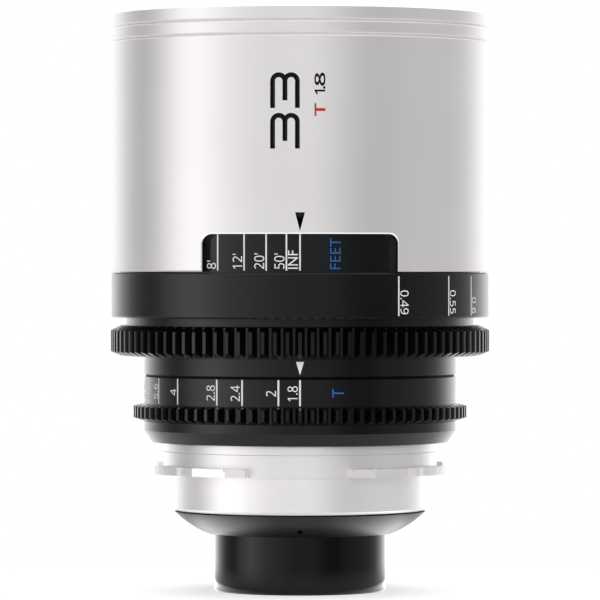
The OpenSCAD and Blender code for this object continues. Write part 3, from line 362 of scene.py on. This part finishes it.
def cutAway(target, cutter):
    makeActive(target)
    cut = target.modifiers.new("cut", "BOOLEAN")
    cut.operation = "DIFFERENCE"
    cut.solver = "EXACT"
    cut.material_mode = "TRANSFER"
    cut.object = cutter
    bpy.ops.object.modifier_apply(modifier=cut.name)
    bpy.data.objects.remove(cutter, do_unlink=True)


def joinAll(name, pieces, finish):
    makeActive(pieces[0])
    if len(pieces) > 1:
        for piece in pieces:
            piece.select_set(True)
        bpy.ops.object.join()
    whole = bpy.context.object
    whole.name = name
    whole.data.materials.clear()
    whole.data.materials.append(finish)
    return whole


def smoothTurned(piece, angle):
    makeActive(piece)
    bpy.ops.object.shade_smooth_by_angle(angle=math.radians(angle))


# front barrel: turned silver tube with the scale window and the engraved number
barrel = {
    **spanOf("front_barrel"), "bore": 38.4, "edge": 0.3, "steps": 482, "smooth": 12,
    "grooves": (115.9, 118.8), "grooveHalf": 0.4, "grooveDepth": 0.35,
    "ringBore": 38.9, "ringSeat": 113.0, "webTop": 82.2, "webLow": 79.2, "webBore": 27.0,
    "windowHalf": 20.03, "windowTop": 75.15, "windowCorner": 2.0, "cornerSteps": 10,
    "windowNear": -46, "windowFar": -30, "cutBelow": 2,
    "rimHalf": 21.05, "rimWidth": 0.33, "rimDepth": 0.2, "rimClear": 0.06, "rimReach": 1.5, "rimSlices": 24,
}


def barrelOutline():
    r, edge = barrel["radius"], barrel["edge"]
    outline = [(barrel["bore"], barrel["low"]), (r - edge, barrel["low"]), (r, barrel["low"] + edge)]
    for z in barrel["grooves"]:
        half = barrel["grooveHalf"]
        outline += [(r, z - half), (r - barrel["grooveDepth"], z), (r, z + half)]
    outline += [(r, barrel["top"] - edge), (r - edge, barrel["top"]), (barrel["ringBore"], barrel["top"])]
    outline += [(barrel["ringBore"], barrel["ringSeat"]), (barrel["bore"], barrel["ringSeat"])]
    outline += [(barrel["bore"], barrel["webTop"]), (barrel["webBore"], barrel["webTop"])]
    outline += [(barrel["webBore"], barrel["webLow"]), (barrel["bore"], barrel["webLow"])]
    return outline


def roundedBlock(half, low, top, corner, near, far):
    # block with its two upper corners rounded; near and far are its faces along y
    deselect()
    bpy.ops.mesh.primitive_cube_add(size=1, location=(0, (near + far) / 2 * mm, (low + top) / 2 * mm))
    block = bpy.context.object
    block.scale = (2 * half * mm, (far - near) * mm, (top - low) * mm)
    applyPlace(block)
    picks = []
    for edge in block.data.edges:
        ends = [block.data.vertices[k].co for k in edge.vertices]
        onTop = all(abs(end.z - top * mm) < level for end in ends)
        picks.append(onTop and abs(ends[0].x - ends[1].x) < level)
    pickParts(block, "edges", picks)
    bpy.ops.mesh.bevel(offset=corner * mm, segments=barrel["cornerSteps"], affect="EDGES")
    bpy.ops.object.mode_set(mode="OBJECT")
    return block


def windowCutter():
    return roundedBlock(
        barrel["windowHalf"], barrel["low"] - barrel["cutBelow"], barrel["windowTop"],
        barrel["windowCorner"], barrel["windowNear"], barrel["windowFar"])


def rimCutter():
    # wider block, its inner face inset and pushed in, for the bright broken edge round the window
    spread, half = barrel["rimWidth"], barrel["rimHalf"] + barrel["rimWidth"]
    cutter = roundedBlock(
        half, barrel["low"] - barrel["cutBelow"], barrel["windowTop"] + spread,
        barrel["windowCorner"] + spread, -barrel["rimReach"], -barrel["rimClear"])
    faces = cutter.data.polygons
    inner = max(faces, key=lambda face: face.normal.y).index
    pickParts(cutter, "polygons", [face.index == inner for face in faces])
    bpy.ops.mesh.inset(thickness=spread * mm, depth=barrel["rimDepth"] * mm)
    for k in range(1, barrel["rimSlices"]):
        sliceX = (2 * k / barrel["rimSlices"] - 1) * half * mm
        bpy.ops.mesh.select_all(action="SELECT")
        bpy.ops.mesh.bisect(plane_co=(sliceX, 0, 0), plane_no=(1, 0, 0))
    bpy.ops.object.mode_set(mode="OBJECT")
    closeSeams(cutter)
    wrapRound(cutter, barrel["radius"])
    cutter.data.materials.append(brightFinish)
    return cutter


# the engraved number, two figures lying on their backs, cut with a round tool
figures = {
    "tool": 0.56, "depth": 0.32, "stems": (-5.593, -3.062, -0.53), "foot": 100.73, "middleFoot": 102.28,
    "bend": 106.23, "pitch": 8.257, "count": 2, "overlap": 0.4, "thinner": 0.01,
    "toolSides": 20, "bendSteps": 16,
}


def figureCutter(fromX, toX, foot, endFoot, bend, tool):
    # stem up, half turn over, stem down
    deselect()
    bpy.ops.mesh.primitive_circle_add(
        vertices=figures["toolSides"], radius=tool * mm, fill_type="NGON",
        location=(fromX * mm, 0, foot * mm))
    cutter = bpy.context.object
    applyPlace(cutter)
    openEdit(cutter)
    bpy.ops.mesh.extrude_region_move(TRANSFORM_OT_translate={"value": (0, 0, (bend - foot) * mm)})
    hub = ((fromX + toX) / 2 * mm, 0, bend * mm)
    way = -math.pi if toX > fromX else math.pi
    bpy.ops.mesh.spin(steps=figures["bendSteps"], angle=way, center=hub, axis=(0, 1, 0))
    bpy.ops.mesh.extrude_region_move(TRANSFORM_OT_translate={"value": (0, 0, (endFoot - bend) * mm)})
    bpy.ops.mesh.select_all(action="SELECT")
    bpy.ops.mesh.remove_doubles(threshold=seam)
    bpy.ops.mesh.select_mode(type="FACE")
    bpy.ops.mesh.select_all(action="DESELECT")
    bpy.ops.mesh.select_interior_faces()
    bpy.ops.mesh.delete(type="FACE")
    bpy.ops.object.mode_set(mode="OBJECT")
    closeSeams(cutter)
    for vert in cutter.data.vertices:
        vert.co.y -= (figures["tool"] - figures["depth"]) * mm
    wrapRound(cutter, barrel["radius"])
    cutter.data.materials.append(blackPaint)
    return cutter


# index marks above the window and on the back, cut as pits and filled
pointer = {
    "width": 2.1, "height": 4.0, "proud": 0.04, "pit": 0.75, "frontTop": 79.58, "backTop": 71.9,
}


def pointerCutter(top, turn):
    deselect()
    bpy.ops.mesh.primitive_cone_add(vertices=3, radius1=mm, radius2=0, depth=mm)
    cutter = bpy.context.object
    fitTriangle(cutter, pointer, top, -pointer["proud"], pointer["pit"])
    wrapRound(cutter, barrel["radius"], turn)
    closeSeams(cutter)
    cutter.data.materials.append(blackPaint)
    return cutter


frontBarrel = lathe("frontBarrel", barrelOutline(), barrel["steps"])
frontBarrel.data.materials.append(silverFinish)
cutAway(frontBarrel, windowCutter())
cutAway(frontBarrel, rimCutter())
print("window and its bright edge cut,", len(frontBarrel.data.polygons), "faces")
left, centre, right = figures["stems"]
for k in range(figures["count"]):
    foot, middleFoot, bend = (figures[name] - k * figures["pitch"] for name in ("foot", "middleFoot", "bend"))
    cutAway(frontBarrel, figureCutter(left, centre, foot, middleFoot, bend, figures["tool"]))
    print("figure stroke cut,", len(frontBarrel.data.polygons), "faces")
    endFoot, tool = bend - figures["overlap"], figures["tool"] - figures["thinner"]
    cutAway(frontBarrel, figureCutter(right, centre, foot, endFoot, bend, tool))
    print("second stroke cut,", len(frontBarrel.data.polygons), "faces")
cutAway(frontBarrel, pointerCutter(pointer["frontTop"], 0))
cutAway(frontBarrel, pointerCutter(pointer["backTop"], math.pi))
smoothTurned(frontBarrel, barrel["smooth"])
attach(frontBarrel, "lens_body")
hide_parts("front_barrel")
print("front barrel done,", len(frontBarrel.data.polygons), "faces")


# front ring with its filter thread
filterRing = {
    **spanOf("front_ring"), "crest": 38.1, "root": 38.55, "bore": 37.2, "boreEdge": 0.15, "steps": 220,
    "threadLow": 115.6, "pitch": 0.75, "leadIn": 0.42, "leadDrop": 0.35, "smooth": 20,
    "crestFlat": 0.1, "rootFrom": 0.38, "rootTo": 0.46,
}


def filterOutline():
    crest, root, bore = filterRing["crest"], filterRing["root"], filterRing["bore"]
    low, top, edge = filterRing["threadLow"], filterRing["top"], filterRing["boreEdge"]
    outline = [(bore, filterRing["low"]), (filterRing["radius"], filterRing["low"])]
    outline += [(filterRing["radius"], top), (crest + filterRing["leadIn"], top)]
    z = top - filterRing["leadDrop"]
    while z - filterRing["pitch"] > low:
        outline += [(crest, z), (crest, z - filterRing["crestFlat"])]
        outline += [(root, z - filterRing["rootFrom"]), (root, z - filterRing["rootTo"])]
        z -= filterRing["pitch"]
    return outline + [(crest, z), (crest, low), (bore + edge, low), (bore, low - edge)]


threadRing = lathe("threadRing", filterOutline(), filterRing["steps"])
threadRing.data.materials.append(blackFinish)
smoothTurned(threadRing, filterRing["smooth"])
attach(threadRing, "lens_body")
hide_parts("front_ring")
print("filter thread done")


# painted scales: thin fillings that stand a little proud
paint = {"half": 0.03, "proud": 0.02, "edge": 0.015, "firstFigure": 0x1D7E2}
paintMiddle = paint["half"] - paint["proud"]


def hasFigure(word):
    return any(sign.isdigit() for sign in word)


def plainFigures(word):
    # the sans alphabet's figures, whose one has a flag
    return "".join(chr(paint["firstFigure"] + int(sign)) if sign.isdigit() else sign for sign in word)


def flatWord(word, size, bold=0.0):
    deselect()
    bpy.ops.object.text_add()
    piece = bpy.context.object
    piece.data.body = plainFigures(word)
    piece.data.size = size
    piece.data.extrude = paint["half"] * mm
    piece.data.offset = bold * mm
    bpy.ops.object.convert(target="MESH")
    return bpy.context.object


def signHeight(sign):
    # share of the text size that a sign stands high
    gauge = flatWord(sign, 1.0)
    height = gauge.dimensions.y
    bpy.data.objects.remove(gauge, do_unlink=True)
    return height


letterShare, figureShare = signHeight("H"), signHeight("1")


def paintWord(word, style, x, z, turn):
    # a word on its side, which reads up the lens, or down it where its way is -1
    size = style["cap"] * mm / (figureShare if hasFigure(word) else letterShare)
    piece = flatWord(word, size, style.get("bold", 0.0))
    way, squeeze = style.get("way", 1), style["squeeze"]
    piece.scale = (squeeze, 1, 1)
    along = [way * squeeze * vert.co.x / mm for vert in piece.data.vertices]
    z -= (min(along) + max(along)) / 2 if style.get("centred") else min(along)  # its middle or its foot
    piece.rotation_euler = (math.pi / 2, -way * math.pi / 2, 0)
    piece.location = (x * mm, paintMiddle * mm, z * mm)
    applyPlace(piece)
    closeSeams(piece)
    wrapRound(piece, style["radius"], turn)
    return piece


def breakEdges(piece):
    openEdit(piece)
    bpy.ops.mesh.bevel(offset=paint["edge"] * mm, segments=1, affect="EDGES")
    bpy.ops.object.mode_set(mode="OBJECT")


def paintLine(scale, turn):
    middle, length = (scale["low"] + scale["high"]) / 2, scale["high"] - scale["low"]
    deselect()
    bpy.ops.mesh.primitive_cube_add(size=1, location=(0, paintMiddle * mm, middle * mm))
    piece = bpy.context.object
    piece.scale = (scale["width"] * mm, 2 * paint["half"] * mm, length * mm)
    applyPlace(piece)
    breakEdges(piece)
    wrapRound(piece, scale["radius"], turn)
    return piece


def paintScale(name, scale, turns):
    # a line for each mark, with its word beside it
    pieces = []
    for word, turn in turns:
        pieces.append(paintLine(scale, turn))
        pieces.append(paintWord(word, scale, scale["beside"], scale["start"], turn))
    return joinAll(name, pieces, whitePaintWithGlow)


def paintLabel(name, label, turn, finish):
    return joinAll(name, [paintWord(label["word"], label, label["x"], label["z"], turn)], finish)


# degrees of turn from infinity, by one over the distance in metres and by its cube
focusLaw = {"far": 63.6, "near": 2.32, "foot": 0.3048}


def focusTurn(distance):
    return math.radians(focusLaw["far"] / distance + focusLaw["near"] / distance ** 3)


feet = {
    "radius": 38.1, "low": 67.65, "high": 76.6, "width": 0.32,
    "cap": 2.04, "squeeze": 0.90, "beside": -0.42, "start": 68.02,
    "marks": (
        ("50'", 50), ("20'", 20), ("12'", 12), ("8'", 8), ("6'", 6), ("5'", 5), ("4'", 4), ("3'6\"", 3.5),
        ("3'", 3), ("2'9\"", 2.75), ("2'6\"", 2.5), ("2'3\"", 2.25), ("2'", 2),
        ("1'10\"", 1.8333), ("1'8\"", 1.6667),
    ),
}
feetLabel = {
    "word": "FEET", "radius": feet["radius"], "cap": 2.2, "squeeze": 1.0, "bold": -0.045,
    "x": 8.35, "z": 68.0,
}
turns = [(word, -focusTurn(distance * focusLaw["foot"])) for word, distance in feet["marks"]]
feetScale = paintScale("feetScale", feet, [("INF", 0)] + turns)
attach(feetScale, "focus_unit")
feetWord = paintLabel("feetWord", feetLabel, 0, bluePaint)
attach(feetWord, "focus_unit")

metres = {
    "radius": 39.85, "low": 58.35, "high": 66.5, "width": 0.32,
    "cap": 1.94, "squeeze": 0.98, "beside": 0.42, "start": 58.72, "way": -1,
    "marks": ("10", "5", "3", "2", "1.5", "1.2", "1", "0.9", "0.8", "0.7", "0.6", "0.55", "0.49"),
}
metreLabel = {
    "word": "METRES", "radius": metres["radius"], "cap": 2.0, "squeeze": 0.74, "way": -1,
    "x": 7.6, "z": 58.85,
}
turns = [(word, math.pi - focusTurn(float(word))) for word in metres["marks"]]
metreScale = paintScale("metreScale", metres, [("INF", math.pi)] + turns)
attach(metreScale, "focus_unit")
metreWord = paintLabel("metreWord", metreLabel, math.pi, bluePaint)
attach(metreWord, "focus_unit")
print("focus scales painted")

stops = {
    "radius": 32.9, "low": 39.85, "high": 45.2, "width": 0.37,
    "cap": 2.06, "squeeze": 0.87, "beside": -0.48, "start": 42.42, "centred": True,
    "spread": 186, "power": 1.1, "marks": ("1.8", "2", "2.4", "2.8", "4", "5.6", "8", "11", "16"),
}
stopLabel = {
    "word": "T", "radius": stops["radius"], "cap": 2.5, "squeeze": 0.88, "bold": -0.02,
    "x": 9.15, "z": 41.6,
}


def stopTurn(stop):
    closing = max(1 / float(stops["marks"][0]) - 1 / stop, 0)
    return -math.radians(stops["spread"] * closing ** stops["power"])


stopScale = paintScale("stopScale", stops, [(word, stopTurn(float(word))) for word in stops["marks"]])
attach(stopScale, "aperture_unit")
stopWord = paintLabel("stopWord", stopLabel, 0, bluePaint)
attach(stopWord, "aperture_unit")
print("aperture scale painted")


# marks on the fixed parts
index = {**spanOf("index_ring"), "width": 1.66, "height": 2.75, "markTop": 48.95}
speedLabel = {
    "word": "T", "radius": barrel["radius"], "cap": 2.1, "squeeze": 1.42, "bold": 0.05,
    "x": 5.12, "z": 99.1,
}
speed = {
    "radius": barrel["radius"], "cap": 2.08, "bold": 0.05, "x": 5.10,
    "signs": (("1", 1.14, 103.45), (".", 1.3, 104.6), ("8", 1.82, 105.24)),
}


def paintPointer():
    deselect()
    bpy.ops.mesh.primitive_cylinder_add(vertices=3, radius=mm, depth=2 * paint["half"] * mm)
    piece = bpy.context.object
    fitTriangle(piece, index, index["markTop"], -paint["proud"], 2 * paint["half"] - paint["proud"])
    closeSeams(piece)
    breakEdges(piece)
    wrapRound(piece, index["radius"])
    return piece


indexMark = joinAll("indexMark", [paintPointer()], whitePaintWithGlow)
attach(indexMark, "lens_body")
speedLetter = paintLabel("speedLetter", speedLabel, 0, redPaint)
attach(speedLetter, "lens_body")
pieces = [
    paintWord(sign, {**speed, "squeeze": squeeze}, speed["x"], z, 0) for sign, squeeze, z in speed["signs"]
]
speedNumber = joinAll("speedNumber", pieces, blackPaint)
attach(speedNumber, "lens_body")
print("marks on the fixed parts painted")


# stage: a pale floor that fades into the white surround, in metres
stage = {
    "floor": 0.2, "sides": 96, "tone": (0.86, 0.86, 0.86), "rough": 0.9, "gloss": 0.1, "lift": 0.6,
    "fadeFrom": 0.035, "fadeTo": 0.10,
    "gleamFront": 0.7, "gleamSide": 4.2, "gleamFrom": 0.008, "gleamTo": 0.034,
    "gleamFar": 0.45, "farFrom": 0.029, "farTo": 0.037, "farCentre": (0, 0.010, 0),
}


def floorGleam(nodes, links, place):
    # what shiny surfaces see of the floor: brighter at the sides, dimmer far from the lens
    across = nodes.new("ShaderNodeSeparateXYZ")
    links.new(place, across.inputs[0])
    sideways = nodes.new("ShaderNodeMath")
    sideways.operation = "ABSOLUTE"
    links.new(across.outputs["X"], sideways.inputs[0])
    gleam = addRange(
        nodes, links, sideways.outputs[0],
        stage["gleamFront"], stage["gleamSide"], stage["gleamFrom"], stage["gleamTo"])
    away = nodes.new("ShaderNodeVectorMath")
    away.operation = "DISTANCE"
    away.inputs[1].default_value = stage["farCentre"]
    links.new(place, away.inputs[0])
    far = addRange(nodes, links, away.outputs["Value"], 0, 1, stage["farFrom"], stage["farTo"])
    dimmed = nodes.new("ShaderNodeMix")
    dimmed.inputs["B"].default_value = stage["gleamFar"]
    links.new(far, dimmed.inputs["Factor"])
    links.new(gleam, dimmed.inputs["A"])
    return dimmed.outputs["Result"]


def paleFinish(name):
    material, nodes, links, shader = startMaterial(name)
    shader.inputs["Base Color"].default_value = (*stage["tone"], 1)
    shader.inputs["Roughness"].default_value = stage["rough"]
    shader.inputs["Specular IOR Level"].default_value = stage["gloss"]
    shader.inputs["Emission Color"].default_value = (1, 1, 1, 1)
    place = nodes.new("ShaderNodeTexCoord").outputs["Object"]
    rays = nodes.new("ShaderNodeLightPath")
    paintedGlow = nodes.new("ShaderNodeMix")
    paintedGlow.inputs["A"].default_value = stage["lift"]
    links.new(rays.outputs["Is Glossy Ray"], paintedGlow.inputs["Factor"])
    links.new(floorGleam(nodes, links, place), paintedGlow.inputs["B"])
    links.new(paintedGlow.outputs["Result"], shader.inputs["Emission Strength"])
    reach = nodes.new("ShaderNodeVectorMath")
    reach.operation = "LENGTH"
    links.new(place, reach.inputs[0])
    gone = addRange(nodes, links, reach.outputs["Value"], 0, 1, stage["fadeFrom"], stage["fadeTo"])
    clear = nodes.new("ShaderNodeBsdfTransparent")
    fade = nodes.new("ShaderNodeMixShader")
    links.new(gone, fade.inputs[0])
    links.new(shader.outputs[0], fade.inputs[1])
    links.new(clear.outputs[0], fade.inputs[2])
    links.new(fade.outputs[0], nodes["Material Output"].inputs["Surface"])
    return material


deselect()
bpy.ops.mesh.primitive_circle_add(vertices=stage["sides"], radius=stage["floor"], fill_type="NGON")
floor = bpy.context.object
floor.name = "floor"
floor.data.materials.append(paleFinish("floorFinish"))

# the surround as bearings round the lens: 0 is behind the camera, minus is the left
surround = {
    "strength": 2.3, "ambient": 0.2, "below": 0.52, "above": 0.8,
    "lowFrom": -0.55, "lowTo": -0.25, "highFrom": 0.45, "highTo": 0.8,
    "bands": (
        (-180, 0.60), (-152, 0.85), (-140, 0.70), (-121, 0.25), (-108, 0.15), (-98, 0.20), (-81, 0.70),
        (-70, 0.95), (-58, 0.80), (-48, 0.57), (-30, 0.43), (-10, 0.27), (15, 0.26), (38, 0.11), (52, 0.10),
        (64, 0.18), (108, 0.24), (122, 0.35), (140, 0.77), (152, 0.85), (180, 0.60),
    ),
}
world = bpy.data.worlds.new("surround")
scene.world = world
world.use_nodes = True
nodes, links = world.node_tree.nodes, world.node_tree.links
nodes.clear()


def worldMath(operation, first, second):
    step = nodes.new("ShaderNodeMath")
    step.operation = operation
    for k, value in enumerate((first, second)):
        if isinstance(value, (int, float)):
            step.inputs[k].default_value = value
        else:
            links.new(value, step.inputs[k])
    return step.outputs[0]


def mixGrey(share, first, grey):
    mix = nodes.new("ShaderNodeMix")
    mix.data_type = "RGBA"
    mix.inputs[colourMix["second"]].default_value = (grey, grey, grey, 1)
    links.new(share, mix.inputs[colourMix["share"]])
    links.new(first, mix.inputs[colourMix["first"]])
    return mix.outputs[colourMix["result"]]


def addLight(strength):
    light = nodes.new("ShaderNodeBackground")
    light.inputs["Color"].default_value = (1, 1, 1, 1)
    light.inputs["Strength"].default_value = strength
    return light


def mixLight(share, first, second):
    mix = nodes.new("ShaderNodeMixShader")
    links.new(share, mix.inputs[0])
    links.new(first.outputs[0], mix.inputs[1])
    links.new(second.outputs[0], mix.inputs[2])
    return mix


def bandRamp(bearing):
    ramp = nodes.new("ShaderNodeValToRGB")
    ramp.color_ramp.interpolation = "LINEAR"
    steps, last = ramp.color_ramp.elements, len(surround["bands"]) - 1
    for k, (angle, value) in enumerate(surround["bands"]):
        step = steps.new((angle + 180) / 360) if 0 < k < last else steps[0 if k == 0 else -1]
        step.color = (value, value, value, 1)
    links.new(addRange(nodes, links, bearing, 0, 1, -math.pi, math.pi), ramp.inputs["Fac"])
    return ramp.outputs["Color"]


parts = nodes.new("ShaderNodeSeparateXYZ")
links.new(nodes.new("ShaderNodeTexCoord").outputs["Generated"], parts.inputs[0])
bearing = worldMath("ARCTAN2", parts.outputs["X"], worldMath("MULTIPLY", parts.outputs["Y"], -1))
low = addRange(nodes, links, parts.outputs["Z"], 1, 0, surround["lowFrom"], surround["lowTo"])
high = addRange(nodes, links, parts.outputs["Z"], 0, 1, surround["highFrom"], surround["highTo"])
tone = mixGrey(high, mixGrey(low, bandRamp(bearing), surround["below"]), surround["above"])
boxes = addLight(surround["strength"])
links.new(tone, boxes.inputs["Color"])
rays = nodes.new("ShaderNodeLightPath")
shiny = worldMath("MAXIMUM", rays.outputs["Is Glossy Ray"], rays.outputs["Is Transmission Ray"])
unseen = mixLight(shiny, addLight(surround["ambient"]), boxes)
seen = mixLight(rays.outputs["Is Camera Ray"], unseen, addLight(1.0))
output = nodes.new("ShaderNodeOutputWorld")
links.new(seen.outputs[0], output.inputs["Surface"])

lampAim = 0.06  # height of the point that the lamps face
lamps = (
    {"name": "keyBox", "place": (0.06, -0.97, 0.14), "size": 0.6, "power": 4.3},
    {"name": "fillBox", "place": (0.85, -0.35, 0.45), "size": 0.6, "power": 1.0},
    {"name": "topBox", "place": (0.0, 0.1, 0.95), "size": 0.8, "power": 5.0},
)
for lamp in lamps:
    x, y, z = lamp["place"]
    deselect()
    bpy.ops.object.light_add(type="AREA", location=(x, y, z))
    box = bpy.context.object
    box.name = lamp["name"]
    box.data.size = lamp["size"]
    box.data.energy = lamp["power"]
    lean = math.atan2(math.hypot(x, y), z - lampAim)
    box.rotation_euler = (lean, 0, math.atan2(y, x) + math.pi / 2)
    box.visible_glossy = False
print("stage and light set")

deselect()
bpy.context.view_layer.update()
